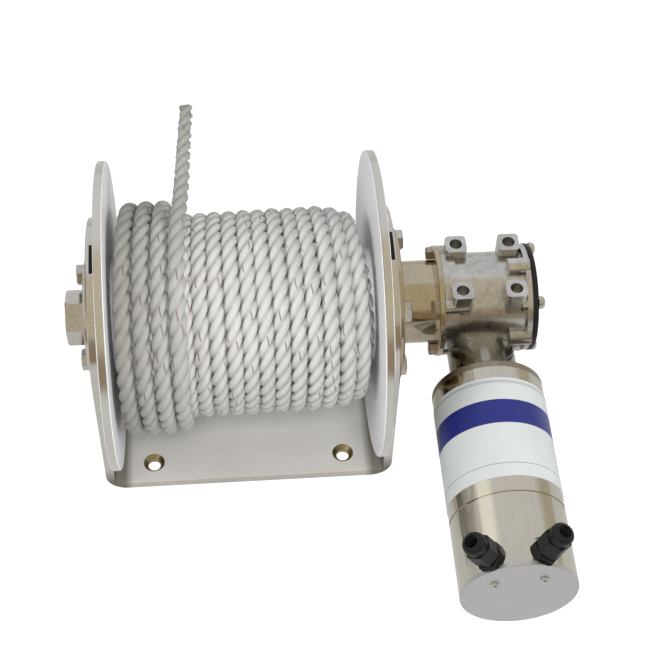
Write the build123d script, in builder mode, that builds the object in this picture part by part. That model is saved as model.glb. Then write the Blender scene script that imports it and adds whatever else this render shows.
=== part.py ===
"""Electric drum anchor windlass: a U bracket, a rope drum, a worm gearbox and a 12 V motor.

Frame: X along the drum shaft with the gearbox at +X, the motor lies along -Y, +Z up.
The origin is the centre of the four base holes, on the bracket's underside. Millimetres.
"""

import os
from math import atan2, cos, degrees, pi, radians, sin, tan

from build123d import *

os.makedirs("parts", exist_ok=True)

# ---- driving dimensions ----------------------------------------------------------------------
axis_z = 114.0  # height of the drum shaft
drum_width = 174.0  # between the inner faces of the drum discs
disc_radius = 105.0
disc_thickness = 6.0
shaft_radius = 12.5
running_gap = 0.05  # radial clearance of a shaft in its bush
bolt_clearance = 0.3  # radial clearance of a bolt in its hole

plate = 6.0  # bracket plate
side_gap = 2.0  # between a drum disc and the bracket's ear
bracket_depth = 135.0
bend_radius = 15.0  # outside of the bracket's two bends
ear_bore = 23.0
base_hole_x = 67.5
base_hole_y = 51.0
base_hole_radius = 4.5
base_sink_radius = 7.4

left_flange_radius = 38.0
right_flange_radius = 52.0
flange_thickness = 4.5
left_bolt_circle = 29.0
right_bolt_circle = 43.0
m8_radius, m8_head, m8_head_height = 4.0, 13.0, 5.3
m5_radius, m5_head, m5_head_height = 2.5, 8.0, 4.0

core_radius = 38.6
core_wall = 4.0
hub_length = 16.0
hub_screw_circle = 24.0

neck_radius = 28.3
ring_radius = 38.0
ring_thickness = 4.0
ring_bolt_circle = 33.0
ring_start = 130.5  # x of the gearbox adapter's ring

case_start = ring_start + ring_thickness
case_end = 193.5
case_step = 144.0
case_radius = 32.2
case_shoulder_radius = 34.0
case_cavity = 27.0
end_flange_radius = 36.6
end_flange_thickness = 3.5
gear_x = 162.5  # x of the worm and of the motor
boss_centre_x = 164.0
boss_spacing_x = 36.0
boss_spacing_y = 40.0
boss_size = 14.2
boss_top = 36.0  # above the drum shaft
boss_hole_radius = 4.25
boss_hole_depth = 14.0

gear_module = 1.25
wheel_teeth = 30
worm_pitch_radius = 6.75
wheel_pitch_radius = gear_module * wheel_teeth / 2
centre_distance = worm_pitch_radius + wheel_pitch_radius
motor_z = axis_z - centre_distance

tunnel_radius = 23.0
tunnel_front = -60.2
tunnel_back = 30.0
adapter_front = -65.5
motor_radius = 37.6
motor_wall = 3.0
can_front = -161.6  # where the can meets the end bell
bell_front = -213.5
label_back, label_front = -74.7, -150.0
motor_roll = -6.0  # the motor is turned this much about its own axis
gland_y = -203.4
gland_spread = 27.0  # each gland from the motor's own vertical

rope_diameter = 11.5
rope_layer = 10.1  # radial step from one layer to the next
rope_layers = 3
top_turns = 4
top_turn_pitch = 11.6
winding_gap = 3.3  # between the rope and each disc

ear_inner = drum_width / 2 + disc_thickness + side_gap
ear_outer = ear_inner + plate
left_face = -(ear_outer + flange_thickness)  # outer face of the left bearing housing
right_face = ear_outer + flange_thickness


# ---- planes and shared shapes ----------------------------------------------------------------
def across(x):
    """A plane square to the drum shaft at x; its own x runs along +Y and its y along +Z."""
    return Plane(origin=(x, 0, axis_z), x_dir=(0, 1, 0), z_dir=(1, 0, 0))


def motor_plane(y):
    """A plane square to the motor at y, turned with the motor; it faces the motor's end."""
    side = (cos(radians(motor_roll)), 0, -sin(radians(motor_roll)))
    return Plane(origin=(gear_x, y, motor_z), x_dir=side, z_dir=(0, -1, 0))


def gland_plane(angle, radius):
    """A plane facing outwards at this radius of the motor, angle degrees from straight up."""
    turn = radians(angle)
    outward = (sin(turn), 0, cos(turn))
    origin = (gear_x + radius * sin(turn), gland_y, motor_z + radius * cos(turn))
    return Plane(origin=origin, x_dir=(0, 1, 0), z_dir=outward)


def disc(plane, radius, length, bore=0.0, mode=Mode.ADD):
    """A cylinder or tube that stands on the plane."""
    with BuildSketch(plane) as profile:
        Circle(radius)
        if bore:
            Circle(bore, mode=Mode.SUBTRACT)
    extrude(profile.sketch, amount=length, mode=mode)


def discs(plane, places, radius, length, mode=Mode.ADD):
    """Equal cylinders that stand on the plane at these places."""
    with BuildSketch(plane) as profile:
        with Locations(*places):
            Circle(radius)
    extrude(profile.sketch, amount=length, mode=mode)


def block(plane, place, width, height, length, mode=Mode.ADD):
    """A rectangular block that stands on the plane."""
    with BuildSketch(plane) as profile:
        with Locations(place):
            Rectangle(width, height)
    extrude(profile.sketch, amount=length, mode=mode)


def on_circle(radius, count, start=0.0):
    """Places evenly spaced round a circle."""
    turns = [radians(start + 360.0 * i / count) for i in range(count)]
    return [(radius * cos(t), radius * sin(t)) for t in turns]


def hex_bolts(plane, places, radius, head, head_height, length):
    """Hexagon bolts with their heads on the plane's front and their shanks behind it."""
    for i, place in enumerate(places):
        with BuildSketch(plane) as profile:
            with Locations(place):
                RegularPolygon(head / 2, 6, major_radius=False, rotation=17 * i)
        extrude(profile.sketch, amount=head_height)
    top = faces().filter_by(GeomType.PLANE).filter_by(Axis(plane.origin, plane.z_dir))
    outer = [f for f in top if (f.center() - plane.origin).dot(plane.z_dir) > head_height / 2]
    chamfer([e for f in outer for e in f.edges()], head_height * 0.14)
    discs(plane, places, radius, -length)


def sunk_screws(plane, places, radius, head_radius, length):
    """Countersunk screws whose heads lie flush with the plane."""
    sink = head_radius - radius
    for place in places:
        with BuildSketch(plane) as wide:
            with Locations(place):
                Circle(head_radius)
        with BuildSketch(plane.offset(-sink)) as narrow:
            with Locations(place):
                Circle(radius)
        loft([wide.sketch.face(), narrow.sketch.face()])
    discs(plane, places, radius, -length)
    for place in places:
        with BuildSketch(plane) as socket:
            with Locations(place):
                RegularPolygon(radius * 0.6, 6, major_radius=False)
        extrude(socket.sketch, amount=-sink, mode=Mode.SUBTRACT)


def sunk_holes(plane, places, radius, head_radius, length):
    """The countersunk holes for those screws."""
    sink = head_radius - radius
    for place in places:
        with BuildSketch(plane) as wide:
            with Locations(place):
                Circle(head_radius)
        with BuildSketch(plane.offset(-sink)) as narrow:
            with Locations(place):
                Circle(radius)
        loft([wide.sketch.face(), narrow.sketch.face()], mode=Mode.SUBTRACT)
    discs(plane, places, radius, -length, mode=Mode.SUBTRACT)


def rim(radius, axis, at):
    """The circular edges of this radius whose centres lie at this place along the axis."""
    along = axis.direction
    circles = edges().filter_by(GeomType.CIRCLE)
    circles = circles.filter_by(lambda e: abs(e.radius - radius) < 0.01)
    return circles.filter_by(lambda e: abs(e.arc_center.dot(along) - at) < 0.01)


def save(name, piece):
    """Label a finished piece and write its STEP file."""
    piece.part.label = name
    export_step(piece.part, f"parts/{name}.step")


left_places = on_circle(left_bolt_circle, 2, 45)
right_places = on_circle(right_bolt_circle, 4, 45)
ring_places = on_circle(ring_bolt_circle, 4, 45)
hub_places = on_circle(hub_screw_circle, 6)

# ---- bracket ---------------------------------------------------------------------------------
with BuildPart() as base_bracket:
    top = axis_z + bracket_depth / 2
    with BuildSketch(Plane.XZ):
        with BuildLine():
            Polyline((-ear_outer, top), (-ear_outer, 0), (ear_outer, 0), (ear_outer, top))
            Line((ear_outer, top), (ear_inner, top))
            Polyline((ear_inner, top), (ear_inner, plate), (-ear_inner, plate), (-ear_inner, top))
            Line((-ear_inner, top), (-ear_outer, top))
        make_face()
        outside = vertices().group_by(Axis.Y)[0]
        inside = vertices().group_by(Axis.Y)[1]
        fillet(outside, bend_radius)
        fillet(inside, bend_radius - plate)
    extrude(amount=bracket_depth / 2, both=True)
    with BuildSketch(Plane.YZ) as side_outline:
        with Locations((0, axis_z / 2)):
            Rectangle(bracket_depth, axis_z)
        with Locations((0, axis_z)):
            Circle(bracket_depth / 2)
    extrude(amount=ear_outer, both=True, mode=Mode.INTERSECT)
    disc(across(-ear_outer), ear_bore, 2 * ear_outer, mode=Mode.SUBTRACT)
    discs(across(-ear_outer), left_places, m8_radius, plate, mode=Mode.SUBTRACT)
    discs(across(ear_inner), right_places, m8_radius, plate, mode=Mode.SUBTRACT)
    base_places = [(x, y) for x in (-base_hole_x, base_hole_x) for y in (-base_hole_y, base_hole_y)]
    sunk_holes(Plane.XY.offset(plate), base_places, base_hole_radius, base_sink_radius, plate)
    corners = edges().filter_by(Axis.X).group_by(Axis.Z)[0] + edges().filter_by(Axis.X).group_by(Axis.Z)[1]
    chamfer(corners, 0.6)
save("base_bracket", base_bracket)

# ---- left bearing ----------------------------------------------------------------------------
bush_radius = 17.0
bush_length = flange_thickness + plate
with BuildPart() as left_bearing_housing:
    disc(across(left_face), left_flange_radius, flange_thickness, bush_radius)
    disc(across(-ear_outer), ear_bore - 0.1, plate, bush_radius)
    discs(across(left_face), left_places, m8_radius + bolt_clearance, flange_thickness, Mode.SUBTRACT)
    fillet(rim(left_flange_radius, Axis.X, left_face), 1.2)
save("left_bearing_housing", left_bearing_housing)

with BuildPart() as left_shaft_bush:
    disc(across(left_face), bush_radius, bush_length, shaft_radius + running_gap)
save("left_shaft_bush", left_shaft_bush)

with BuildPart() as left_flange_bolts:
    left_outward = Plane(origin=(left_face, 0, axis_z), x_dir=(0, 1, 0), z_dir=(-1, 0, 0))
    mirrored = [(y, -z) for y, z in left_places]
    hex_bolts(left_outward, mirrored, m8_radius, m8_head, m8_head_height, bush_length)
save("left_flange_bolts", left_flange_bolts)

# ---- gearbox adapter: right bearing flange, neck and ring in one welded piece ------------------
with BuildPart() as gearbox_adapter:
    disc(across(ear_outer), right_flange_radius, flange_thickness)
    fillet(rim(right_flange_radius, Axis.X, right_face), 1.2)
    disc(across(ear_inner), ear_bore - 0.1, plate)
    disc(across(right_face), neck_radius, ring_start - right_face)
    disc(across(ring_start), ring_radius, ring_thickness)
    fillet(rim(ring_radius, Axis.X, ring_start) + rim(ring_radius, Axis.X, case_start), 0.8)
    disc(across(ear_inner), bush_radius, bush_length, mode=Mode.SUBTRACT)
    disc(across(right_face), shaft_radius + 3, case_start - right_face, mode=Mode.SUBTRACT)
    discs(across(ear_outer), right_places, m8_radius + bolt_clearance, flange_thickness, Mode.SUBTRACT)
    discs(across(ring_start), ring_places, m5_radius + bolt_clearance, ring_thickness, Mode.SUBTRACT)
save("gearbox_adapter", gearbox_adapter)

with BuildPart() as right_shaft_bush:
    disc(across(ear_inner), bush_radius, bush_length, shaft_radius + running_gap)
save("right_shaft_bush", right_shaft_bush)

with BuildPart() as right_flange_bolts:
    hex_bolts(across(right_face), right_places, m8_radius, m8_head, m8_head_height, bush_length)
save("right_flange_bolts", right_flange_bolts)

with BuildPart() as thrust_washers:
    disc(across(-ear_inner + 0.3), 30, side_gap - 0.3, shaft_radius)
    disc(across(ear_inner - side_gap), 30, side_gap - 0.3, shaft_radius)
save("thrust_washers", thrust_washers)

# ---- drum ------------------------------------------------------------------------------------
key_width, key_top = 6.0, 15.0
key_spots = [(-drum_width / 2, hub_length), (drum_width / 2 - hub_length, hub_length), (gear_x - 7, 14.0)]


def key_slots(spots, bottom, top_radius):
    """Cut the straight key slots above the shaft."""
    for start, length in spots:
        block(across(start), (0, (bottom + top_radius) / 2), key_width, top_radius - bottom, length,
              Mode.SUBTRACT)


shaft_left = left_face - 1.0
shaft_right = gear_x + 16.0
stub_radius, stub_length = 8.0, 9.0
with BuildPart() as main_shaft:
    disc(across(shaft_left), shaft_radius, shaft_right - shaft_left)
    disc(across(shaft_left - stub_length), stub_radius, stub_length)
    key_slots(key_spots, 9.0, shaft_radius + 1)
    disc(across(shaft_left - stub_length), 3.0, 14, mode=Mode.SUBTRACT)
    chamfer(edges().filter_by(GeomType.CIRCLE).sort_by(Axis.X)[-1], 1)
save("main_shaft", main_shaft)

with BuildPart() as shaft_keys:
    for key_start, key_length in key_spots:
        block(across(key_start), (0, (9.0 + key_top) / 2), key_width, key_top - 9.0, key_length)
save("shaft_keys", shaft_keys)

for side, face in (("left", -drum_width / 2 - disc_thickness), ("right", drum_width / 2)):
    with BuildPart() as drum_disc:
        disc(across(face), disc_radius, disc_thickness, shaft_radius)
        outward = face if side == "left" else face + disc_thickness
        outward_x = -1 if side == "left" else 1
        facing = Plane(origin=(outward, 0, axis_z), x_dir=(0, 1, 0), z_dir=(outward_x, 0, 0))
        sunk_holes(facing, hub_places, 3.0, 5.6, disc_thickness)
        chamfer(rim(disc_radius, Axis.X, face) + rim(disc_radius, Axis.X, face + disc_thickness), 0.8)
    save(f"{side}_drum_disc", drum_disc)

    with BuildPart() as drum_hub:
        hub_start = -drum_width / 2 if side == "left" else drum_width / 2 - hub_length
        disc(across(hub_start), core_radius - core_wall, hub_length, shaft_radius)
        key_slots([(hub_start, hub_length)], shaft_radius - 1, key_top)
        discs(across(hub_start), hub_places, 3.0, hub_length, Mode.SUBTRACT)
    save(f"{side}_drum_hub", drum_hub)

with BuildPart() as drum_disc_screws:
    for direction in (-1, 1):
        face = direction * (drum_width / 2 + disc_thickness)
        facing = Plane(origin=(face, 0, axis_z), x_dir=(0, 1, 0), z_dir=(direction, 0, 0))
        sunk_screws(facing, hub_places, 3.0, 5.6, disc_thickness + 12)
save("drum_disc_screws", drum_disc_screws)

rope_hole_x = 66.0
with BuildPart() as drum_core_tube:
    disc(across(-drum_width / 2), core_radius, drum_width, core_radius - core_wall)
    through = Plane(origin=(rope_hole_x, 0, axis_z), x_dir=(1, 0, 0), z_dir=(0, 0, 1))
    disc(through, rope_diameter / 2 + 1, core_radius + 2, mode=Mode.SUBTRACT)
save("drum_core_tube", drum_core_tube)

clamp_x = 42.0
with BuildPart() as rope_clamp:
    clamp_bottom = axis_z + core_radius - core_wall - 10.5
    under = Plane(origin=(clamp_x, 0, clamp_bottom), z_dir=(0, 0, 1))
    block(under, (0, 0), 22, 12, 8)
    fillet(edges().filter_by(Axis.Z), 2)
save("rope_clamp", rope_clamp)

with BuildPart() as rope_clamp_screws:
    for offset in (-7, 7):
        bottom = Plane(origin=(clamp_x + offset, 0, clamp_bottom), z_dir=(0, 0, -1))
        disc(bottom, 3.6, 3)
save("rope_clamp_screws", rope_clamp_screws)

# ---- hexagon for the hand crank --------------------------------------------------------------
hex_length, hex_corner = 12.5, 18.8
hex_turn = 37.0
hex_end = shaft_left - hex_length
with BuildPart() as crank_hexagon:
    with BuildSketch(across(hex_end)) as hexagon:
        RegularPolygon(hex_corner, 6, rotation=hex_turn)
    extrude(hexagon.sketch, amount=hex_length)
    with BuildSketch(across(hex_end)) as turned_end:
        Circle(hex_corner * 0.95)
    extrude(turned_end.sketch, amount=hex_length, taper=-35, mode=Mode.INTERSECT)
    disc(across(shaft_left - stub_length), stub_radius, stub_length, mode=Mode.SUBTRACT)
    hex_outward = Plane(origin=(hex_end, 0, axis_z), x_dir=(0, 1, 0), z_dir=(-1, 0, 0))
    sunk_holes(hex_outward, [(0, 0)], 3.0, 5.6, hex_length)
save("crank_hexagon", crank_hexagon)

with BuildPart() as crank_hexagon_screw:
    sunk_screws(hex_outward, [(0, 0)], 3.0, 5.6, 16)
save("crank_hexagon_screw", crank_hexagon_screw)

# ---- rope on the drum ------------------------------------------------------------------------
rope_half = drum_width / 2 - winding_gap
inner_radius = core_radius + rope_layer * (rope_layers - 1) + (rope_diameter - rope_layer) / 2
outer_radius = core_radius + rope_layer * (rope_layers - 1) + rope_diameter
top_radius = outer_radius + rope_layer
top_width = top_turns * top_turn_pitch
with BuildPart() as rope_inner_layers:
    disc(across(-rope_half), inner_radius, 2 * rope_half, core_radius)
save("rope_inner_layers", rope_inner_layers)

with BuildPart() as rope_outer_layer:
    disc(across(-rope_half), outer_radius, 2 * rope_half, inner_radius)
    disc(across(-rope_half), top_radius, top_width, inner_radius)
save("rope_outer_layer", rope_outer_layer)

# The free end leaves the top of the fourth turn and runs straight back, a little to the right.
tail_z = axis_z + top_radius - rope_diameter / 2
tail_start = Vector(-37.4, 43.0, tail_z)
tail_end = Vector(-32.2, 122.5, tail_z)
with BuildPart() as rope_tail:
    with BuildLine() as tail_line:
        Line(tail_start, tail_end)
    with BuildSketch(Plane(origin=tail_start, z_dir=tail_end - tail_start)) as tail_section:
        Circle(rope_diameter / 2)
    sweep(tail_section.sketch, path=tail_line.line)
tail_length = (tail_end - tail_start).length
tail_volume = pi * (rope_diameter / 2) ** 2 * tail_length
print("rope tail: straight, length", round(tail_length, 1),
      "mm, volume over section times length", round(rope_tail.part.volume / tail_volume, 4))
save("rope_tail", rope_tail)

# ---- gearbox housing -------------------------------------------------------------------------
boss_places = [(boss_centre_x + sx * boss_spacing_x / 2, sy * boss_spacing_y / 2)
               for sx in (-1, 1) for sy in (-1, 1)]
pad_places = [(-33.0, 0), (0, 33.0), (33.0, 0)]
with BuildPart() as gearbox_housing:
    disc(across(case_start), case_shoulder_radius, case_step - case_start)
    discs(across(case_start), ring_places, 5.0, 16)
    disc(across(case_step), case_radius, case_end - case_step)
    disc(across(case_end - end_flange_thickness), end_flange_radius, end_flange_thickness)
    discs(across(case_end - 15), pad_places, 6.5, 15)
    tunnel_start = Plane(origin=(gear_x, tunnel_back, motor_z), x_dir=(1, 0, 0), z_dir=(0, -1, 0))
    disc(tunnel_start, tunnel_radius, tunnel_back - tunnel_front)
    with BuildSketch(Plane.XY.offset(axis_z)) as boss_outline:
        with Locations(*boss_places):
            RectangleRounded(boss_size, boss_size, 2.8)
    extrude(boss_outline.sketch, amount=boss_top)
    fillet(edges().group_by(Axis.Z)[-1], 1.0)
    end_head_room = across(case_end - end_flange_thickness)
    discs(end_head_room, ring_places, m5_head / 2 + 0.9, -m5_head_height - 0.5, Mode.SUBTRACT)
    disc(across(case_start), shaft_radius + 1, case_end - case_start, mode=Mode.SUBTRACT)
    disc(across(case_start), 19.0, 5.0, mode=Mode.SUBTRACT)
    disc(across(case_step + 4), case_cavity, case_end - case_step - 4, mode=Mode.SUBTRACT)
    worm_bore = Plane(origin=(gear_x, tunnel_front, motor_z), x_dir=(1, 0, 0), z_dir=(0, 1, 0))
    disc(worm_bore, 10.5, tunnel_back - tunnel_front - 4, mode=Mode.SUBTRACT)
    disc(worm_bore, 15.0, 24.2, mode=Mode.SUBTRACT)
    discs(Plane.XY.offset(axis_z + boss_top), boss_places, boss_hole_radius, -boss_hole_depth,
          mode=Mode.SUBTRACT)
    discs(across(case_start), ring_places, m5_radius, 6, Mode.SUBTRACT)
    discs(across(case_end - end_flange_thickness), ring_places, m5_radius + bolt_clearance,
          end_flange_thickness, Mode.SUBTRACT)
save("gearbox_housing", gearbox_housing)

with BuildPart() as ring_flange_bolts:
    ring_back = Plane(origin=(ring_start, 0, axis_z), x_dir=(0, 1, 0), z_dir=(-1, 0, 0))
    ring_mirrored = [(y, -z) for y, z in ring_places]
    hex_bolts(ring_back, ring_mirrored, m5_radius, m5_head, m5_head_height, ring_thickness + 5)
save("ring_flange_bolts", ring_flange_bolts)

with BuildPart() as shaft_seal:
    disc(across(case_start), 19.0, 5.0, shaft_radius + 0.1)
save("shaft_seal", shaft_seal)

gasket_thickness, cover_thickness = 1.6, 2.4
dome_radius, dome_height, dome_round = 4.4, 4.4, 2.8  # the domed nuts on the end cover's bolts
with BuildPart() as cover_gasket:
    disc(across(case_end), end_flange_radius + 0.2, gasket_thickness, case_cavity)
    discs(across(case_end), ring_places, m5_radius + bolt_clearance, gasket_thickness, Mode.SUBTRACT)
save("cover_gasket", cover_gasket)

cover_start = case_end + gasket_thickness
with BuildPart() as gearbox_end_cover:
    disc(across(cover_start), end_flange_radius, cover_thickness)
    fillet(rim(end_flange_radius, Axis.X, cover_start + cover_thickness), 1.0)
    disc(across(cover_start - gasket_thickness - 14), case_cavity - 0.1, gasket_thickness + 14, 14.5)
    disc(across(cover_start - gasket_thickness - 1), 14.5, 1.0 + gasket_thickness)
    discs(across(cover_start), ring_places, m5_radius, cover_thickness, Mode.SUBTRACT)
    disc(across(cover_start), 4.0, cover_thickness, mode=Mode.SUBTRACT)
save("gearbox_end_cover", gearbox_end_cover)

with BuildPart() as end_cover_bolts:
    end_back = Plane(origin=(case_end - end_flange_thickness, 0, axis_z), x_dir=(0, 1, 0), z_dir=(-1, 0, 0))
    hex_bolts(end_back, ring_mirrored, m5_radius, m5_head, m5_head_height,
              end_flange_thickness + gasket_thickness + cover_thickness)
    discs(across(cover_start + cover_thickness), ring_places, dome_radius, dome_height)
    fillet(rim(dome_radius, Axis.X, cover_start + cover_thickness + dome_height), dome_round)
save("end_cover_bolts", end_cover_bolts)

with BuildPart() as oil_plug:
    plug_face = across(cover_start + cover_thickness)
    disc(plug_face, 6.4, 2.0)
    disc(plug_face.offset(2.0), 5.2, 2.6)
    fillet(rim(5.2, Axis.X, cover_start + cover_thickness + 4.6), 2.2)
    disc(plug_face.offset(-cover_thickness), 4.0, cover_thickness)
save("oil_plug", oil_plug)

with BuildPart() as end_shaft_bush:
    disc(across(gear_x + 8.0), 14.5, 9.0, shaft_radius + running_gap)
save("end_shaft_bush", end_shaft_bush)

# ---- worm gear -------------------------------------------------------------------------------
wheel_width = 12.0
worm_lead = pi * gear_module
lead_angle = atan2(worm_lead, 2 * pi * worm_pitch_radius)
tooth_skew = degrees(wheel_width / 2 * tan(lead_angle) / wheel_pitch_radius)
tooth_tip, tooth_root = 0.45, 1.15  # half widths of a wheel tooth at its tip and its root
root_radius = wheel_pitch_radius - 1.5
tip_radius = wheel_pitch_radius + 1.2


def tooth_profile(level, turn):
    """One wheel tooth's outline at this level of its own frame, turned about the wheel."""
    with BuildSketch(Plane.XY.offset(level).rotated((0, 0, turn))) as profile:
        with BuildLine():
            Polyline((root_radius - 0.6, -tooth_root - 0.1), (tip_radius, -tooth_tip),
                     (tip_radius, tooth_tip), (root_radius - 0.6, tooth_root + 0.1), close=True)
        make_face()
    return profile.sketch.face()


with BuildPart() as wheel_tooth:
    near = tooth_profile(-wheel_width / 2, -tooth_skew)
    far = tooth_profile(wheel_width / 2, tooth_skew)
    loft([near, far], ruled=True)

with BuildPart() as worm_wheel:
    disc(across(gear_x - wheel_width / 2), root_radius, wheel_width, shaft_radius)
    with Locations(across(gear_x)):
        with PolarLocations(0, wheel_teeth):
            add(wheel_tooth.part)
    disc(across(gear_x - 7), 15.8, 14, shaft_radius)
    key_slots([key_spots[2]], shaft_radius - 1, key_top)
save("worm_wheel", worm_wheel)

worm_turns = 6
worm_core = worm_pitch_radius - 1.6
worm_axis = Plane(origin=(gear_x, 0, motor_z), x_dir=(0, 0, 1), z_dir=(0, 1, 0))
with BuildPart() as worm_thread:
    with BuildLine() as helix:
        worm_length = worm_lead * worm_turns
        Helix(worm_lead, worm_length, worm_pitch_radius, center=(0, 0, -worm_length / 2))
    start = helix.line @ 0
    with BuildSketch(Plane(origin=start, x_dir=(1, 0, 0), z_dir=helix.line % 0)) as thread_section:
        with BuildLine():
            Polyline((-1.9, -1.35), (1.2, -0.42), (1.2, 0.42), (-1.9, 1.35), close=True)
        make_face()
    sweep(thread_section.sketch, path=helix.line, is_frenet=True)

with BuildPart() as worm_shaft:
    disc(worm_axis.offset(-46), 5.0, 70)
    disc(worm_axis.offset(-14), worm_core, 28)
    with Locations(worm_axis):
        add(worm_thread.part)
    disc(worm_axis.offset(-46), 4.0, 22, mode=Mode.SUBTRACT)
save("worm_shaft", worm_shaft)


def ball_bearing(plane, outer, inner, width, balls=8):
    """A ball bearing: two rings with a groove between them and its balls, as separate solids."""
    ball = (outer - inner) * 0.26
    middle = (outer + inner) / 2
    disc(plane, outer, width, middle + ball * 0.75)
    disc(plane, middle - ball * 0.75, width, inner)
    with BuildSketch(Plane(origin=plane.origin, x_dir=plane.x_dir, z_dir=plane.y_dir)) as groove:
        with Locations((middle, -width / 2)):
            Circle(ball + 0.05)
    revolve(groove.sketch, axis=Axis(plane.origin, plane.z_dir), mode=Mode.SUBTRACT)
    with Locations(plane.offset(width / 2)):
        with PolarLocations(middle, balls):
            Sphere(ball)


with BuildPart() as worm_front_bearing:
    ball_bearing(worm_axis.offset(-44), 15.0, 5.0 + running_gap, 8)
save("worm_front_bearing", worm_front_bearing)

with BuildPart() as worm_rear_bearing:
    ball_bearing(worm_axis.offset(17), 10.5, 5.0 + running_gap, 7)
save("worm_rear_bearing", worm_rear_bearing)

with BuildPart() as worm_seal:
    disc(worm_axis.offset(-52), 15.0, 6, 6.6)
save("worm_seal", worm_seal)

# ---- motor -----------------------------------------------------------------------------------
bolt_ring = on_circle(31.0, 4, 45)
tunnel_ring = on_circle(18.5, 4)
front_wall = 4.0
motor_bearing = 11.0
can_bore = motor_radius - motor_wall
with BuildPart() as motor_adapter:
    disc(motor_plane(tunnel_front), motor_radius, tunnel_front - adapter_front, 11.0)
    fillet(rim(motor_radius, Axis.Y, tunnel_front), 1.2)
    discs(motor_plane(tunnel_front), bolt_ring, 2.3, tunnel_front - adapter_front, Mode.SUBTRACT)
    sunk_holes(motor_plane(adapter_front), tunnel_ring, 2.0, 4.0, tunnel_front - adapter_front)
save("motor_adapter", motor_adapter)

with BuildPart() as tunnel_screws:
    sunk_screws(motor_plane(adapter_front), tunnel_ring, 2.0, 4.0, tunnel_front - adapter_front)
save("tunnel_screws", tunnel_screws)

with BuildPart() as adapter_screws:
    toward_gearbox = Plane(origin=(gear_x, tunnel_front, motor_z), x_dir=motor_plane(0).x_dir,
                           z_dir=(0, 1, 0))
    adapter_mirrored = [(x, -z) for x, z in bolt_ring]
    discs(toward_gearbox, adapter_mirrored, 3.6, 2.6)
    fillet(edges().filter_by(GeomType.CIRCLE).group_by(Axis.Y)[-1], 1.4)
    discs(toward_gearbox, adapter_mirrored, 2.0, -(tunnel_front - adapter_front) - front_wall)
    for screw_place in adapter_mirrored:
        with BuildSketch(toward_gearbox.offset(2.6)) as drive:
            with Locations(screw_place):
                RegularPolygon(1.4, 6, major_radius=False)
        extrude(drive.sketch, amount=-1.6, mode=Mode.SUBTRACT)
save("adapter_screws", adapter_screws)

with BuildPart() as motor_can:
    disc(motor_plane(adapter_front), motor_radius, adapter_front - can_front)
    disc(motor_plane(adapter_front - front_wall), can_bore, adapter_front - front_wall - can_front,
         mode=Mode.SUBTRACT)
    disc(motor_plane(adapter_front), motor_bearing, front_wall, mode=Mode.SUBTRACT)
    disc(motor_plane(adapter_front - front_wall), 14.0, 4.5, motor_bearing)
    discs(motor_plane(adapter_front), bolt_ring, 2.0, front_wall, Mode.SUBTRACT)
    disc(motor_plane(can_front + 1.2), motor_radius, 1.2, motor_radius - 0.8, Mode.SUBTRACT)
save("motor_can", motor_can)

label_thickness = 0.3
with BuildPart() as motor_label:
    disc(motor_plane(label_back), motor_radius + label_thickness, label_back - label_front, motor_radius)
save("motor_label", motor_label)

with BuildPart() as motor_front_bearing:
    ball_bearing(motor_plane(adapter_front - 0.5), motor_bearing, 6.0 + running_gap, 8)
save("motor_front_bearing", motor_front_bearing)

magnet_start, magnet_length = -80.0, 62.0
with BuildPart() as field_magnets:
    disc(motor_plane(magnet_start), can_bore, magnet_length, 28.0)
    block(motor_plane(magnet_start), (0, 0), 24, 2 * motor_radius, magnet_length, Mode.SUBTRACT)
save("field_magnets", field_magnets)

slots = 12
core_start, core_length = -83.0, 54.0
armature_radius, slot_width = 27.2, 4.0
with BuildPart() as armature_core:
    disc(motor_plane(core_start), armature_radius, core_length, 6.0)
    with BuildSketch(motor_plane(core_start)) as slot_outline:
        with PolarLocations(21.0, slots):
            Rectangle(9.0, slot_width)
        with PolarLocations(26.0, slots):
            Rectangle(4.0, 1.6)
    extrude(slot_outline.sketch, amount=core_length, mode=Mode.SUBTRACT)
save("armature_core", armature_core)

with BuildPart() as armature_winding:
    disc(motor_plane(core_start + 6), 25.4, 6, 9.0)
    fillet(edges().filter_by(GeomType.CIRCLE).group_by(Axis.Y)[-1], 2)
    disc(motor_plane(core_start - core_length), 25.4, 7, 9.0)
    fillet(edges().filter_by(GeomType.CIRCLE).group_by(Axis.Y)[0], 2)
    with BuildSketch(motor_plane(core_start)) as slot_fill:
        with PolarLocations(21.0, slots):
            Rectangle(9.0, slot_width)
    extrude(slot_fill.sketch, amount=core_length)
save("armature_winding", armature_winding)

commutator_start, commutator_length, commutator_radius = -148.0, 17.0, 13.0
with BuildPart() as commutator:
    disc(motor_plane(commutator_start), commutator_radius, commutator_length, 6.0)
    with BuildSketch(motor_plane(commutator_start)) as bars:
        with PolarLocations(commutator_radius, slots):
            Rectangle(3.0, 0.6)
    extrude(bars.sketch, amount=commutator_length, mode=Mode.SUBTRACT)
save("commutator", commutator)

rear_bearing_start = -197.0
with BuildPart() as motor_shaft:
    disc(motor_plane(-24.0), 4.0, 42.0)
    disc(motor_plane(-66.0), 6.0, 139.0)
save("motor_shaft", motor_shaft)

end_plate_thickness = 3.0
plate_back = bell_front + end_plate_thickness
gland_angles = [motor_roll - gland_spread, motor_roll + gland_spread]
gland_seat = motor_radius - 1.4  # radius of the flat each gland is screwed against
gland_hole = 6.0
gland_recess = 10.0
with BuildPart() as motor_end_bell:
    disc(motor_plane(can_front), motor_radius, can_front - plate_back, can_bore)
    for angle in gland_angles:
        disc(gland_plane(angle, 25), gland_hole, 20, mode=Mode.SUBTRACT)
        disc(gland_plane(angle, gland_seat), gland_recess, 6, mode=Mode.SUBTRACT)
save("motor_end_bell", motor_end_bell)

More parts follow.
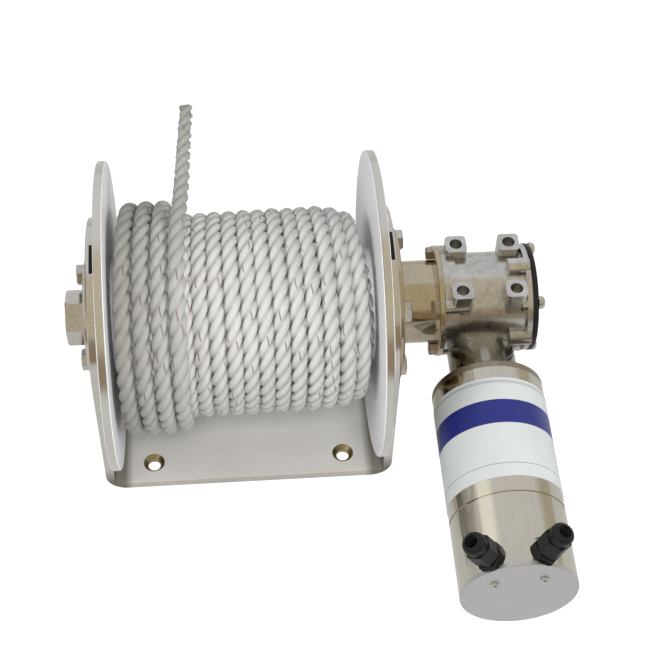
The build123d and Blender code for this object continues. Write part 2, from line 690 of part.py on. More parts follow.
end_screw_places = [(-15.4, 17.1), (15.4, 17.1)]
with BuildPart() as motor_end_plate:
    disc(motor_plane(plate_back), motor_radius, end_plate_thickness)
    fillet(rim(motor_radius, Axis.Y, bell_front), 0.6)
    disc(motor_plane(rear_bearing_start + 1), 14.5, rear_bearing_start + 1 - plate_back, motor_bearing)
    discs(motor_plane(plate_back), end_screw_places, 1.9, end_plate_thickness, Mode.SUBTRACT)
    for angle in gland_angles:
        disc(gland_plane(angle, gland_seat), gland_recess, 6, mode=Mode.SUBTRACT)
save("motor_end_plate", motor_end_plate)

with BuildPart() as end_plate_screws:
    discs(motor_plane(bell_front), end_screw_places, 2.8, 1.7)
    fillet(edges().filter_by(GeomType.CIRCLE).group_by(Axis.Y)[0], 1.2)
    discs(motor_plane(bell_front), end_screw_places, 1.6, -12.0)
    for screw_place in end_screw_places:
        with BuildSketch(motor_plane(bell_front - 1.7)) as cross:
            with Locations(screw_place):
                Rectangle(3.0, 0.7, rotation=40)
                Rectangle(0.7, 3.0, rotation=40)
        extrude(cross.sketch, amount=-0.9, mode=Mode.SUBTRACT)
save("end_plate_screws", end_plate_screws)

with BuildPart() as motor_rear_bearing:
    ball_bearing(motor_plane(rear_bearing_start), motor_bearing, 6.0 + running_gap, 8)
save("motor_rear_bearing", motor_rear_bearing)

brush_size, brush_length = 6.0, 11.0
with BuildPart() as brush_holder:
    disc(motor_plane(-168.0), can_bore, 3.0, 14.5)
    discs(motor_plane(-171.0), end_screw_places, 3.4, -171.0 - plate_back)
    discs(motor_plane(plate_back + 12), end_screw_places, 1.6, 12, Mode.SUBTRACT)
    for side in (-1, 1):
        box_back = motor_plane(-150.0)
        block(box_back, (side * 23.5, 0), 17, 10, 18.0)
        block(box_back.offset(3), (side * 23.5, 0), 17.2, brush_size, 7, Mode.SUBTRACT)
save("brush_holder", brush_holder)

with BuildPart() as brushes:
    for side in (-1, 1):
        block(box_back.offset(3), (side * (commutator_radius + 0.4 + brush_length / 2), 0), brush_length,
              brush_size, 7)
save("brushes", brushes)

with BuildPart() as brush_springs:
    for side in (-1, 1):
        spring_start = side * (commutator_radius + 0.4 + brush_length)
        spring_foot = box_back.offset(6.5).from_local_coords((spring_start, 0, 0))
        spring_plane = Plane(origin=spring_foot, z_dir=box_back.x_dir * side)
        disc(spring_plane, 2.4, 7.0, 1.7)
save("brush_springs", brush_springs)

# ---- cable glands ----------------------------------------------------------------------------
cable_radius = 3.4
for name, angle in zip(("left", "right"), gland_angles):
    seat = gland_plane(angle, gland_seat)
    with BuildPart() as gland_body:
        with BuildSketch(seat) as base_hexagon:
            RegularPolygon(8.5, 6, major_radius=False, rotation=15)
        extrude(base_hexagon.sketch, amount=5.2)
        chamfer([e for e in edges() if seat.to_local_coords(e.center()).Z > 5.1], 0.7)
        disc(seat.offset(-8), gland_hole - 0.1, 8)
        disc(seat.offset(5.2), 6.4, 9)
        disc(seat.offset(-8), 4.4, 30, mode=Mode.SUBTRACT)
    save(f"{name}_gland_body", gland_body)

    with BuildPart() as gland_nut:
        nut_plane = seat.offset(6.4)
        with BuildSketch(nut_plane) as nut_hexagon:
            RegularPolygon(7.9, 6, major_radius=False, rotation=5)
        extrude(nut_hexagon.sketch, amount=12.0)
        disc(nut_plane.offset(12.0), 7.6, 8.0)
        nut_circles = edges().filter_by(GeomType.CIRCLE)
        nut_end = [e for e in nut_circles if nut_plane.to_local_coords(e.center()).Z > 19.9]
        fillet(nut_end, 3.6)
        disc(nut_plane, 6.5, 10.0, mode=Mode.SUBTRACT)
        disc(nut_plane, 5.6, 18.0, mode=Mode.SUBTRACT)
        disc(nut_plane, 4.2, 20.0, mode=Mode.SUBTRACT)
    save(f"{name}_gland_nut", gland_nut)

    with BuildPart() as gland_seal:
        disc(nut_plane.offset(10.0), 5.5, 7.9, cable_radius)
    save(f"{name}_gland_seal", gland_seal)
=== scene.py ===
"""Looks for the electric anchor windlass: studio, materials, the rope and the fine details."""

import math

import bpy
from mathutils import Matrix, Vector, noise


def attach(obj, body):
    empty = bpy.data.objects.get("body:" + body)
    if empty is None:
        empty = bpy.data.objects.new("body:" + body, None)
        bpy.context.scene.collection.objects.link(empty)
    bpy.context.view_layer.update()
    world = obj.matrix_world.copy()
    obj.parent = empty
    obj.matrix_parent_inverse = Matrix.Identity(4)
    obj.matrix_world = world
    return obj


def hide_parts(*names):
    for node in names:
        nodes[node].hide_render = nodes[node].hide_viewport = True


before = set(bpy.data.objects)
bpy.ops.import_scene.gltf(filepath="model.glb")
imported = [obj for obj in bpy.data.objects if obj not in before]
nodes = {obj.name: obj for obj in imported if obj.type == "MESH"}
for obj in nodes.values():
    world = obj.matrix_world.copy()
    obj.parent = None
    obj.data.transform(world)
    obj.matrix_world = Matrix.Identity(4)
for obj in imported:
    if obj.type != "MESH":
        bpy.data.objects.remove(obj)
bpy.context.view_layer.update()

AXIS_Z = 0.114  # height of the drum shaft
MOTOR_X, MOTOR_Z = 0.1625, 0.0885  # where the motor's axis lies, which runs along Y


# ---- camera, floor and light -----------------------------------------------------------------
# The room's colours from the front horizon (0), by way of overhead (0.5), to the back horizon (1).
ROOM = [(0.0, (0.30, 0.23, 0.15)), (0.13, (0.36, 0.28, 0.19)), (0.17, (0.60, 0.54, 0.41)),
        (0.55, (0.62, 0.56, 0.44)), (0.59, (0.74, 0.74, 0.77)), (1.0, (0.74, 0.74, 0.75))]
# Patches of the room: each fades in from the first X to the second and from the first Z to the second.
PATCHES = [(-0.44, -0.54, 0.28, 0.42, (1.05, 1.04, 1.0)), (-0.60, -0.74, 0.42, 0.26, (0.13, 0.115, 0.09)),
           (0.60, 0.74, 0.50, 0.30, (0.52, 0.48, 0.40))]
SEEN, SHED = 1.0, 0.30  # the room's strength in reflections, and as light on rough surfaces
FLOOR_SEEN, FLOOR_SHED = 0.45, 0.46  # the same for the floor
WHITE = (1, 1, 1, 1)  # what the camera itself sees of the floor and the room
FLOOR_SIZE, FLOOR_LEVEL = 6.0, -0.0004  # half its width, and just under the bracket
LIT_PLACE = (0.04, 0, 0.1)  # the lights face this


def add_camera():
    """The camera stands high in front of the windlass, a little to the left."""
    azimuth, elevation, roll = math.radians(-5.96), math.radians(53.25), math.radians(2.03)
    target, distance = Vector((0.05678, 0.0, 0.09218)), 1.1467
    back = Vector((math.sin(azimuth) * math.cos(elevation), -math.cos(azimuth) * math.cos(elevation),
                   math.sin(elevation)))
    right = Vector((math.cos(azimuth), math.sin(azimuth), 0))
    up = back.cross(right)
    x_axis = right * math.cos(roll) + up * math.sin(roll)
    y_axis = up * math.cos(roll) - right * math.sin(roll)
    data = bpy.data.cameras.new("camera")
    data.lens, data.sensor_width = 91.32, 36.0
    data.clip_end = 20
    camera = bpy.data.objects.new("camera", data)
    turn = Matrix((x_axis, y_axis, back)).transposed().to_4x4()
    camera.matrix_world = Matrix.Translation(target + back * distance) @ turn
    bpy.context.scene.collection.objects.link(camera)
    bpy.context.scene.camera = camera


def add_light(name, place, size, power):
    """A square soft box that faces the windlass and doesn't show in its reflections."""
    data = bpy.data.lights.new(name, "AREA")
    data.shape, data.size, data.energy = "SQUARE", size, power
    light = bpy.data.objects.new(name, data)
    light.location = place
    light.rotation_euler = (Vector(LIT_PLACE) - Vector(place)).to_track_quat("-Z", "Y").to_euler()
    light.visible_glossy = False
    bpy.context.scene.collection.objects.link(light)


def path_strength(tree, is_ray, otherwise, for_ray):
    """A strength in the studio for this kind of ray, and another for the rest."""
    choose = tree.nodes.new("ShaderNodeMix")
    for socket, source in zip(choose.inputs, (is_ray, None, otherwise, for_ray)):
        if isinstance(source, bpy.types.NodeSocket):
            tree.links.new(source, socket)
        elif source is not None:
            socket.default_value = source
    return choose.outputs[0]


def add_floor():
    """A pale floor, which the camera sees as white."""
    mesh = bpy.data.meshes.new("floor")
    ends = (-FLOOR_SIZE, FLOOR_SIZE)
    mesh.from_pydata([(x, y, FLOOR_LEVEL) for x in ends for y in ends], [], [(0, 2, 3, 1)])
    floor = bpy.data.objects.new("floor", mesh)
    bpy.context.scene.collection.objects.link(floor)
    material = bpy.data.materials.new("floor")
    material.use_nodes = True
    tree = material.node_tree
    shader = tree.nodes["Principled BSDF"]
    shader.inputs["Base Color"].default_value = (0.15, 0.15, 0.15, 1)
    shader.inputs["Roughness"].default_value = 0.9
    shader.inputs["Emission Color"].default_value = WHITE
    path = tree.nodes.new("ShaderNodeLightPath")
    glow = path_strength(tree, path.outputs["Is Diffuse Ray"], 1.0, FLOOR_SHED)
    glow = path_strength(tree, path.outputs["Is Glossy Ray"], glow, FLOOR_SEEN)
    tree.links.new(glow, shader.inputs["Emission Strength"])
    mesh.materials.append(material)


def add_world():
    """A pale room by height round the X axis: brown in front, golden overhead and white behind.

    Reflections see the room at full strength, it lights rough surfaces more weakly, and the camera itself
    sees white.
    """
    world = bpy.data.worlds.new("studio")
    world.use_nodes = True
    tree = world.node_tree

    def calculate(operation, a, b):
        made = tree.nodes.new("ShaderNodeMath")
        made.operation = operation
        for socket, source in zip(made.inputs, (a, b)):
            if isinstance(source, bpy.types.NodeSocket):
                tree.links.new(source, socket)
            else:
                socket.default_value = source
        return made.outputs[0]

    def blend(amount, below, above):
        made = tree.nodes.new("ShaderNodeMix")
        made.data_type = "RGBA"
        tree.links.new(amount, made.inputs[0])
        tree.links.new(below, made.inputs[6])
        made.inputs[7].default_value = above
        return made.outputs[2]

    coordinates = tree.nodes.new("ShaderNodeTexCoord")
    split = tree.nodes.new("ShaderNodeSeparateXYZ")
    tree.links.new(coordinates.outputs["Generated"], split.inputs[0])
    forward = calculate("MULTIPLY", split.outputs["Y"], -1.0)
    angle = calculate("ARCTAN2", split.outputs["Z"], forward)
    share = calculate("DIVIDE", calculate("ABSOLUTE", angle, 0.0), math.pi)
    ramp = tree.nodes.new("ShaderNodeValToRGB")
    tree.links.new(share, ramp.inputs[0])
    while len(ramp.color_ramp.elements) < len(ROOM):
        ramp.color_ramp.elements.new(0.5)
    for element, (place, colour) in zip(ramp.color_ramp.elements, ROOM):
        element.position = place
        element.color = (*colour, 1)
    colour = ramp.outputs[0]
    for from_x, to_x, from_z, to_z, patch in PATCHES:
        amount = 1.0
        for value, start, end in ((split.outputs["X"], from_x, to_x), (split.outputs["Z"], from_z, to_z)):
            fade = tree.nodes.new("ShaderNodeMapRange")
            tree.links.new(value, fade.inputs[0])
            fade.inputs[1].default_value, fade.inputs[2].default_value = start, end
            amount = calculate("MULTIPLY", fade.outputs[0], amount)
        colour = blend(amount, colour, (*patch, 1))
    path = tree.nodes.new("ShaderNodeLightPath")
    strength = path_strength(tree, path.outputs["Is Diffuse Ray"], SEEN, SHED)
    background = tree.nodes["Background"]
    tree.links.new(blend(path.outputs["Is Camera Ray"], colour, WHITE), background.inputs["Color"])
    tree.links.new(strength, background.inputs["Strength"])
    bpy.context.scene.world = world


add_camera()
add_floor()
add_world()
add_light("key", (0.05, -1.2, 1.7), size=0.7, power=40)
add_light("left", (-1.5, -0.3, 0.9), size=0.8, power=14)
add_light("right", (1.6, -0.3, 0.9), size=0.8, power=18)
bpy.context.scene.view_settings.view_transform = "Standard"


# ---- materials -------------------------------------------------------------------------------
class Paint:
    """Builds one node material; each method adds nodes and returns an output socket."""

    def __init__(self, name):
        self.material = bpy.data.materials.new(name)
        self.material.use_nodes = True
        self.tree = self.material.node_tree
        self.shader = self.tree.nodes["Principled BSDF"]

    def node(self, kind, links=(), **settings):
        made = self.tree.nodes.new("ShaderNode" + kind)
        for key, value in settings.items():
            setattr(made, key, value)
        for socket, source in dict(links).items():
            if isinstance(source, bpy.types.NodeSocket):
                self.tree.links.new(source, made.inputs[socket])
            else:
                made.inputs[socket].default_value = source
        return made

    def place(self, scale=(1, 1, 1)):
        """The point on the object, in metres, stretched by scale."""
        coordinates = self.node("TexCoord")
        return self.node("Mapping", {0: coordinates.outputs["Object"], 3: scale}).outputs[0]

    def part_of(self, vector, index):
        """One of a vector's X, Y and Z."""
        return self.node("SeparateXYZ", {0: vector}).outputs[index]

    def vector(self, operation, a, b=(0, 0, 0), output=0):
        return self.node("VectorMath", {0: a, 1: b}, operation=operation).outputs[output]

    def grain(self, place, scale, detail=4.0):
        return self.node("TexNoise", {"Vector": place, "Scale": scale, "Detail": detail,
                                      "Roughness": 0.6}).outputs["Fac"]

    def tone(self, fine, slow, share=0.45):
        """Fine grain and slow changes in one value; share is the fine grain's."""
        return self.math("MULTIPLY_ADD", fine, share, self.math("MULTIPLY", slow, 1 - share))

    def ramp(self, value, stops):
        """The colour for a value, from pairs of place and colour."""
        made = self.node("ValToRGB", {0: value})
        while len(made.color_ramp.elements) < len(stops):
            made.color_ramp.elements.new(0.5)
        for element, (at, colour) in zip(made.color_ramp.elements, stops):
            element.position = at
            element.color = (*colour, 1)
        return made.outputs[0]

    def math(self, operation, a, b=0.0, c=0.0):
        return self.node("Math", {0: a, 1: b, 2: c}, operation=operation).outputs[0]

    def span(self, value, low, high, to_low=0.0, to_high=1.0):
        """A value taken from one range to another, and no further than its ends."""
        return self.node("MapRange", {0: value, 1: low, 2: high, 3: to_low, 4: to_high}).outputs[0]

    def mix(self, amount, a, b, blend="MIX"):
        made = self.node("Mix", {0: amount}, data_type="RGBA", blend_type=blend)
        for socket, source in ((6, a), (7, b)):
            if isinstance(source, bpy.types.NodeSocket):
                self.tree.links.new(source, made.inputs[socket])
            else:
                made.inputs[socket].default_value = (*source, 1)
        return made.outputs[2]

    def bump(self, height, strength, distance):
        made = self.node("Bump", {"Strength": strength, "Distance": distance, "Height": height})
        self.tree.links.new(made.outputs[0], self.shader.inputs["Normal"])

    def set(self, **values):
        """Put numbers, colours or outputs on the shader's sockets. Returns the finished material."""
        for key, value in values.items():
            socket = self.shader.inputs[key.replace("_", " ")]
            if isinstance(value, bpy.types.NodeSocket):
                self.tree.links.new(value, socket)
            else:
                socket.default_value = (*value, 1) if isinstance(value, tuple) else value
        return self.material


GRAIN_DEPTH = 0.00025  # of the bump in metal


def metal(name, dark, light, rough, brush=(1, 1, 1), brush_scale=400.0, bump=0.12, blotch=22.0, spread=0.1):
    """Bare metal: long fine grain along the brushing and slow changes of tone and gloss."""
    paint = Paint(name)
    fine = paint.grain(paint.place(brush), brush_scale, 3)
    tone = paint.tone(fine, paint.grain(paint.place(), blotch, 3))
    colour = paint.ramp(tone, [(0.3, dark), (0.68, light)])
    gloss = paint.span(tone, 0.3, 0.7, rough - spread / 2, rough + spread / 2)
    paint.bump(fine, bump, GRAIN_DEPTH)
    return paint.set(Base_Color=colour, Metallic=1.0, Roughness=gloss)


PLATE_TOP = 0.006  # height at which the plate's top begins to turn into the bends
HOLE_PLACE = (0.0675, 0.051, 0.0)  # the right rear bolt hole, which the other three mirror
SINK_RADIUS = 0.0076  # of the countersinks
BEND_INSIDE, BEND_OUTSIDE = 0.082, 0.088  # x between which the plate turns up


def bracket_paint():
    """Brushed sheet: soft on the plate, whose top is painted lighter to make up for the winding's shade on
    it, and polished on the ears.
    """
    paint = Paint("brushed_stainless")
    fine = paint.grain(paint.place((0.06, 1, 1)), 900.0, 3)
    tone = paint.tone(fine, paint.grain(paint.place(), 22.0, 3))
    height = paint.part_of(paint.place(), 2)
    upward = paint.part_of(paint.node("TexCoord").outputs["Normal"], 2)
    on_plate = paint.math("MULTIPLY", paint.span(height, PLATE_TOP, PLATE_TOP + 0.008, 1.0, 0.0),
                          paint.span(upward, 0.6, 0.95))
    polish = paint.math("SUBTRACT", 1.0, on_plate)
    # The plate's top keeps its satin finish but is painted lighter, to make up for the winding's shade.
    soft = paint.ramp(tone, [(0.3, (0.66, 0.645, 0.62)), (0.68, (0.74, 0.725, 0.70))])
    bright = paint.ramp(tone, [(0.3, (0.58, 0.56, 0.52)), (0.68, (0.74, 0.72, 0.68))])
    gloss = paint.math("MULTIPLY_ADD", polish, -0.26, paint.span(tone, 0.3, 0.7, 0.38, 0.46))
    point = paint.vector("ABSOLUTE", paint.place())
    away = paint.vector("MULTIPLY", paint.vector("SUBTRACT", point, HOLE_PLACE), (1, 1, 0))
    from_hole = paint.vector("LENGTH", away, output="Value")
    sink = paint.span(from_hole, SINK_RADIUS - 0.0003, SINK_RADIUS, 1.0, 0.0)
    colour = paint.mix(polish, soft, bright)
    # Painted shade in the inside bends, under the discs' edges.
    bend_shade = paint.math("MULTIPLY", paint.span(paint.part_of(point, 0), BEND_INSIDE, BEND_OUTSIDE),
                         paint.span(height, 0.010, 0.026, 1.0, 0.0))
    colour = paint.mix(bend_shade, colour, paint.mix(1.0, colour, (0.36, 0.34, 0.31), "MULTIPLY"))
    colour = paint.mix(sink, colour, (0.40, 0.33, 0.19))
    shine = paint.math("MAXIMUM", sink, paint.span(polish, 0.0, 1.0, 0.35, 1.0))
    paint.bump(fine, 0.05, GRAIN_DEPTH)
    return paint.set(Base_Color=colour, Roughness=gloss, Metallic=shine)


TUNNEL = (-0.030, -0.042)  # y between which the gearbox's painted shade sets in, on the tunnel toward the motor


def cast_paint(name, dark, light, rough):
    """Cast steel, which is smoother on the tunnel, toward the motor, and painted darker there as shade."""
    paint = Paint(name)
    fine = paint.grain(paint.place(), 260.0, 3)
    tone = paint.tone(fine, paint.grain(paint.place(), 30.0, 3))
    colour = paint.ramp(tone, [(0.3, dark), (0.68, light)])
    # Painted shade: the tunnel is darkened toward the motor; its lower roughness is the metal's own.
    tunnel_shade = paint.span(paint.part_of(paint.place(), 1), *TUNNEL)
    colour = paint.mix(tunnel_shade, colour, paint.mix(1.0, colour, (0.56, 0.54, 0.50), "MULTIPLY"))
    gloss = paint.span(tone, 0.3, 0.7, rough - 0.06, rough + 0.06)
    gloss = paint.math("MULTIPLY_ADD", tunnel_shade, -0.10, gloss)
    paint.bump(fine, 0.2, GRAIN_DEPTH)
    return paint.set(Base_Color=colour, Metallic=1.0, Roughness=gloss)


EDGE = 0.0002  # how wide the change is from one finish to another


def turned(name, centre, dark, light, rough, axis="X", metallic=1.0, polished=None):
    """Metal turned on a lathe: fine rings about the axis.

    What lies beyond polished's radius, or further out than its x, is bare and takes its colour.
    """
    paint = Paint(name)
    flat = (0, 1, 1) if axis == "X" else (1, 0, 1)
    away = paint.vector("MULTIPLY", paint.vector("SUBTRACT", paint.place(), centre), flat)
    radius = paint.vector("LENGTH", away, output="Value")
    fine = paint.grain(paint.node("CombineXYZ", {0: radius}).outputs[0], 2600.0, 3)
    tone = paint.tone(fine, paint.grain(paint.place(), 18.0, 3), 0.5)
    colour = paint.ramp(tone, [(0.3, dark), (0.7, light)])
    gloss = paint.span(tone, 0.3, 0.7, rough - 0.05, rough + 0.06)
    paint.bump(fine, 0.1, 0.0002)
    if polished:
        rim, outer, bare_colour = polished
        sideways = paint.math("ABSOLUTE", paint.part_of(paint.place(), 0))
        outside = paint.span(sideways, outer - EDGE, outer)
        bare = paint.math("MAXIMUM", outside, paint.span(radius, rim - EDGE, rim))
        shade = paint.ramp(tone, [(0.3, tuple(0.85 * c for c in bare_colour)), (0.7, bare_colour)])
        colour = paint.mix(bare, colour, shade)
        gloss = paint.math("MULTIPLY_ADD", bare, 0.2 - rough, gloss)
        metallic = paint.span(bare, 0.0, 1.0, metallic, 1.0)
    return paint.set(Base_Color=colour, Metallic=metallic, Roughness=gloss)


def plastic(name, dark, light, rough, grain_scale=900.0, bump=0.12, shine=0.5):
    """Moulded plastic or rubber with a fine grain."""
    paint = Paint(name)
    fine = paint.grain(paint.place(), grain_scale, 4)
    slow = paint.grain(paint.place(), 30.0, 3)
    colour = paint.ramp(slow, [(0.35, dark), (0.65, light)])
    gloss = paint.span(slow, 0.3, 0.7, rough - 0.06, rough + 0.06)
    paint.bump(fine, bump, 0.0003)
    return paint.set(Base_Color=colour, Roughness=gloss, Specular_IOR_Level=shine)


BAND_MIDDLE, BAND_HALF = -0.1009, 0.0090  # the label's blue band along Y, and half its width
LINE_MIDDLES, LINE_HALF = (-0.0772, -0.0784, -0.1403), 0.0003  # its thin lines
PRINT_EDGE = 0.00008


def label_paint():
    """White glossy film with a blue band and thin grey lines round the motor."""
    paint = Paint("label_film")
    along = paint.part_of(paint.place(), 1)
    white = paint.ramp(paint.grain(paint.place(), 40.0),
                       [(0.3, (0.46, 0.49, 0.49)), (0.7, (0.50, 0.53, 0.53))])

    def band(middle, half):
        off = paint.math("ABSOLUTE", paint.math("SUBTRACT", along, middle))
        return paint.span(off, half - PRINT_EDGE, half + PRINT_EDGE, 1.0, 0.0)

    colour = paint.mix(band(BAND_MIDDLE, BAND_HALF), white, (0.008, 0.013, 0.13))
    for middle in LINE_MIDDLES:
        colour = paint.mix(paint.math("MULTIPLY", band(middle, LINE_HALF), 0.8), colour, (0.16, 0.19, 0.20))
    paint.bump(paint.grain(paint.place(), 300.0), 0.03, 0.0002)
    return paint.set(Base_Color=colour, Roughness=0.4, Coat_Weight=0.15, Coat_Roughness=0.12)


STRANDS = 3
DRUM_HALF = 0.085  # x of the drum's ends
LEAVES_DRUM = (-0.035, 0.015)  # y between which the free end turns darker
# Painted shade along the rope, from the left end of the drum (0) to the right end (1): darker beside both
# discs, most at the left.
ROPE_END_SHADE = [(0.0, (0.56, 0.535, 0.505)), (0.11, (0.78, 0.76, 0.735)), (0.21, (0.97, 0.96, 0.94)),
        (0.75, (1.0, 1.0, 1.0)), (1.0, (0.88, 0.87, 0.87))]


def rope_paint(name, dark, light, free_end=1.0):
    """White rope fibre: yarns along the rope, with painted shade in the grooves, where the turns touch and
    toward the drum's ends, and short tracer threads.

    The map's u runs once round the rope and turns with the strands; its v is the length in lays.
    What leaves the drum is weathered: free_end is the share of light that it gives back.
    """
    paint = Paint(name)
    rope_map = paint.node("UVMap", uv_map="rope").outputs[0]
    around, along = paint.part_of(rope_map, 0), paint.part_of(rope_map, 1)
    still = paint.math("ADD", around, along)  # the angle about the rope, not turning with the strands

    def streaks(across, lengthways, detail):
        place = paint.node("CombineXYZ", {0: paint.math("MULTIPLY", still, across),
                                          1: paint.math("MULTIPLY", along, lengthways)})
        return paint.node("TexNoise", {"Vector": place.outputs[0], "Scale": 1.0, "Detail": detail,
                                       "Roughness": 0.55}).outputs["Fac"]

    yarns = streaks(34.0, 3.2, 3.0)
    fibres = streaks(150.0, 6.0, 4.0)
    tone = paint.tone(yarns, paint.grain(paint.place(), 24.0, 2), 0.4)
    colour = paint.ramp(tone, [(0.32, dark), (0.66, light)])
    # Painted shade toward the drum's ends, where the discs keep light off the rope.
    end_shade = paint.ramp(paint.span(paint.part_of(paint.place(), 0), -DRUM_HALF, DRUM_HALF), ROPE_END_SHADE)
    colour = paint.mix(1.0, colour, end_shade, "MULTIPLY")
    if free_end < 1.0:
        off_drum = paint.span(paint.part_of(paint.place(), 1), *LEAVES_DRUM)
        colour = paint.mix(off_drum, colour, paint.mix(1.0, colour, (free_end,) * 3, "MULTIPLY"))
    # Painted shade in the grooves between strands, deepest on the rope's sides, where the turns touch.
    in_strand = paint.math("FRACT", paint.math("MULTIPLY", around, STRANDS))
    lobe = paint.math("ABSOLUTE", paint.math("SUBTRACT", in_strand, 0.5))
    beside = paint.math("ABSOLUTE", paint.math("SINE", paint.math("MULTIPLY", still, 2 * math.pi)))
    contact = paint.span(paint.math("POWER", beside, 3.0), 0.0, 1.0, 0.30, 0.92)
    groove = paint.math("MULTIPLY", paint.span(lobe, 0.27, 0.5), contact)
    colour = paint.mix(groove, colour, (0.20, 0.175, 0.14))
    for strand in range(STRANDS):
        step = paint.math("FLOOR", paint.math("ADD", along, 0.35 + 0.4 * strand))
        spin = paint.node("TexWhiteNoise", {"W": paint.math("ADD", step, 17.0 * strand)},
                          noise_dimensions="1D").outputs["Value"]
        leaning = paint.math("MULTIPLY_ADD", along, 0.16, still)
        off = paint.math("SUBTRACT", paint.math("FRACT", paint.math("ADD", leaning, spin)), 0.5)
        thread = paint.span(paint.math("ABSOLUTE", off), 0.008, 0.016, 1.0, 0.0)
        starts = paint.math("GREATER_THAN", around, 0.05 + strand / STRANDS)
        ends = paint.math("LESS_THAN", around, 0.26 + strand / STRANDS)
        tracer = paint.math("MULTIPLY", paint.math("MULTIPLY", thread, starts), ends)
        colour = paint.mix(paint.math("MULTIPLY", tracer, 0.75), colour, (0.12, 0.055, 0.05))
    paint.bump(paint.math("MULTIPLY_ADD", fibres, 0.4, yarns), 0.28, 0.0004)
    return paint.set(Base_Color=colour, Roughness=0.7, Sheen_Weight=0.15, Sheen_Roughness=0.5)


def dress(material, *names):
    """Give CAD nodes this material."""
    for name in names:
        mesh = nodes[name].data
        mesh.materials.clear()
        mesh.materials.append(material)


AXIS = (0, 0, AXIS_Z)
MOTOR = (MOTOR_X, 0, MOTOR_Z)
bracket_steel = bracket_paint()
DISC_RIM, DISC_OUTSIDE = 0.1048, 0.0929  # the discs' radius, and the x of their outer faces
disc_steel = turned("satin_disc", AXIS, (0.74, 0.74, 0.77), (0.82, 0.82, 0.85), 0.42, metallic=0.12,
                    polished=(DISC_RIM, DISC_OUTSIDE, (0.76, 0.74, 0.69)))
flange_steel = metal("satin_flange", (0.50, 0.475, 0.43), (0.72, 0.70, 0.66), 0.13)
neck_steel = metal("golden_neck", (0.42, 0.365, 0.26), (0.60, 0.53, 0.40), 0.12)
cast_steel = cast_paint("cast_stainless", (0.42, 0.405, 0.38), (0.76, 0.745, 0.715), 0.25)
bronze_plate = metal("mottled_plate", (0.24, 0.20, 0.15), (0.46, 0.41, 0.33), 0.36, brush_scale=200.0,
                     bump=0.1, blotch=60.0, spread=0.2)
can_steel = metal("drawn_can", (0.58, 0.54, 0.455), (0.68, 0.64, 0.55), 0.12, brush=(1, 0.05, 1),
                  brush_scale=700.0, bump=0.03)
end_steel = turned("end_face", MOTOR, (0.58, 0.565, 0.58), (0.70, 0.685, 0.70), 0.46, axis="Y")
bolt_steel = metal("bolt_steel", (0.44, 0.42, 0.38), (0.74, 0.72, 0.68), 0.20, brush_scale=500.0, bump=0.1)
bolt_brown = metal("tinted_bolt", (0.28, 0.23, 0.16), (0.52, 0.46, 0.37), 0.22, brush_scale=500.0, bump=0.1)
inner_steel = metal("ground_steel", (0.40, 0.40, 0.40), (0.62, 0.62, 0.62), 0.3)
core_steel = metal("core_laminations", (0.10, 0.10, 0.11), (0.2, 0.2, 0.21), 0.5, brush=(1, 30, 1),
                   brush_scale=300.0)
bronze = metal("bronze", (0.45, 0.27, 0.11), (0.62, 0.42, 0.2), 0.35)
copper = metal("copper", (0.55, 0.22, 0.10), (0.75, 0.38, 0.2), 0.35)
gland_black = plastic("gland_black", (0.003, 0.0035, 0.004), (0.007, 0.008, 0.009), 0.36,
                      grain_scale=700.0, bump=0.08, shine=0.28)
rubber_black = plastic("rubber_black", (0.004, 0.004, 0.004), (0.010, 0.010, 0.010), 0.6, shine=0.3)
holder_brown = plastic("holder_brown", (0.12, 0.06, 0.04), (0.2, 0.1, 0.07), 0.5)
cover_black = plastic("cover_black", (0.004, 0.004, 0.005), (0.010, 0.010, 0.011), 0.36,
                      grain_scale=500.0, bump=0.05, shine=0.3)
magnet_black = plastic("magnet_ferrite", (0.03, 0.03, 0.035), (0.07, 0.07, 0.075), 0.55)

dress(bracket_steel, "base_bracket")
dress(disc_steel, "left_drum_disc", "right_drum_disc", "drum_core_tube")
dress(flange_steel, "left_bearing_housing", "crank_hexagon")
dress(neck_steel, "gearbox_adapter")
dress(bronze_plate, "motor_adapter")
dress(cast_steel, "gearbox_housing")
dress(cover_black, "gearbox_end_cover")
dress(can_steel, "motor_can", "motor_end_bell")
dress(end_steel, "motor_end_plate")
dress(bolt_brown, "ring_flange_bolts")
dress(bolt_steel, "left_flange_bolts", "right_flange_bolts", "end_cover_bolts", "adapter_screws",
      "tunnel_screws", "end_plate_screws", "crank_hexagon_screw", "drum_disc_screws",
      "rope_clamp_screws", "oil_plug")
dress(inner_steel, "main_shaft", "shaft_keys", "left_drum_hub", "right_drum_hub", "rope_clamp",
      "worm_shaft", "worm_front_bearing", "worm_rear_bearing",
      "motor_shaft", "motor_front_bearing", "motor_rear_bearing", "brush_springs")
dress(core_steel, "armature_core")
dress(bronze, "left_shaft_bush", "right_shaft_bush", "end_shaft_bush", "thrust_washers", "worm_wheel")
dress(copper, "armature_winding", "commutator")
dress(gland_black, "left_gland_body", "left_gland_nut", "right_gland_body", "right_gland_nut")
dress(rubber_black, "left_gland_seal", "right_gland_seal", "cover_gasket", "shaft_seal", "worm_seal")
dress(holder_brown, "brush_holder")
dress(magnet_black, "field_magnets", "brushes")
dress(label_paint(), "motor_label")

# ---- rope ------------------------------------------------------------------------------------
ROPE = 0.0115  # diameter
INNER_LAY, OUTER_LAY, TOP_LAY = 0.033, 0.034, 0.037  # one full turn of a strand, by layer
FREE_LAY = 0.028  # the same in the free end, once it has left the drum
LANES, TOP_LANES = 15, 3  # turns in each full layer, and on top of them
INNER_PITCH, OUTER_PITCH, TOP_PITCH = 0.0111, 0.0105, 0.0118  # from one turn on the drum to the next
INNER_FIRST, SECOND_FIRST, OUTER_FIRST, TOP_FIRST = 0.0803, -0.0779, 0.0767, -0.0782  # x of the first turns
CORE = 0.0386  # radius that the rope is wound on
LAYER = 0.0101  # from one layer's radius to the next
RADII = [CORE + ROPE / 2 + layer * LAYER for layer in range(4)]
STEP = 15  # degrees from one point of a winding's route to the next
